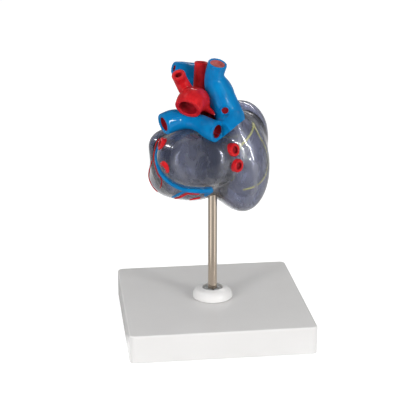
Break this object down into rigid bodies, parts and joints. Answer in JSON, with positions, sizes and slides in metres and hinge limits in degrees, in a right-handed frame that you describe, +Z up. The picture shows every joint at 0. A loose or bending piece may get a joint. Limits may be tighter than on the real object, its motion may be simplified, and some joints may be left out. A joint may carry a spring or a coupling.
{
  "type": "human heart anatomy model",
  "caption": "Transparent two-part teaching heart with red and blue vessels, lifted on a steel rod from a square white base; the front wall pulls off to show the chambers.",
  "frame": {"origin": "middle of the base plate's underside", "axes": "+Z up along the rod, +Y to the front of the heart where the front wall pulls off, +X to the heart's own right side"},
  "size_m": [0.122, 0.122, 0.1849],
  "materials": {
    "white_plastic": "glossy moulded",
    "grey_plastic": "satin moulded",
    "rod_steel": "brushed, warm grey",
    "zinc": "plated",
    "smoky_casting": "transparent smoky casting, glossy",
    "red_vessel": "glossy, dark red inside the open ends",
    "blue_vessel": "glossy, dark red inside the open ends",
    "cream_valve": "satin",
    "yellow_tract": "painted",
    "magnet": "nickel plated"
  },
  "bodies": {
    "stand": {"base_plate": "white_plastic", "rod_collar": "white_plastic", "rod_gripper": "grey_plastic"},
    "rod": {"support_rod": "rod_steel", "rod_washer": "zinc", "rod_screw": "zinc"},
    "rear_heart": {"rear_heart_wall": "smoky_casting", "rod_socket": "smoky_casting", "rear_magnet_left": "magnet", "rear_magnet_right": "magnet", "rear_magnet_upper": "magnet", "valve_floor": "smoky_casting", "atrial_septum": "smoky_casting", "rear_ventricular_septum": "smoky_casting", "mitral_valve": "cream_valve", "tricuspid_valve": "cream_valve", "sinoatrial_node": "yellow_tract", "anterior_internodal_tract": "yellow_tract", "posterior_internodal_tract": "yellow_tract", "interatrial_tract": "yellow_tract", "atrioventricular_node": "yellow_tract", "vena_cava": "blue_vessel", "aorta": "red_vessel", "pulmonary_artery": "blue_vessel", "left_superior_pulmonary_vein": "red_vessel", "left_inferior_pulmonary_vein": "red_vessel", "right_superior_pulmonary_vein": "red_vessel", "right_inferior_pulmonary_vein": "red_vessel", "coronary_sinus": "blue_vessel", "left_marginal_artery": "red_vessel", "posterior_descending_artery": "red_vessel", "inferior_septal_artery": "red_vessel"},
    "front_heart": {"front_heart_wall": "smoky_casting", "front_magnet_left": "magnet", "front_magnet_right": "magnet", "front_magnet_upper": "magnet", "front_ventricular_septum": "smoky_casting", "anterolateral_papillary_muscle": "smoky_casting", "posteromedial_papillary_muscle": "smoky_casting", "right_papillary_muscle": "smoky_casting", "left_bundle_branch": "yellow_tract", "right_bundle_branch": "yellow_tract", "anterior_descending_artery": "red_vessel", "great_cardiac_vein": "blue_vessel", "right_coronary_artery": "red_vessel"}
  },
  "joints": [
    {"name": "rod_turn", "type": "hinge", "parent": "stand", "child": "rod", "pos_m": [0, 0, 0.02], "axis": [0, 0, 1], "continuous": true},
    {"name": "heart_lift", "type": "slide", "parent": "rod", "child": "rear_heart", "axis": [0, 0, 1], "range_m": [0, 0.045]},
    {"name": "front_wall_pull", "type": "slide", "parent": "rear_heart", "child": "front_heart", "axis": [0, 1, 0], "range_m": [0, 0.05]}
  ]
}
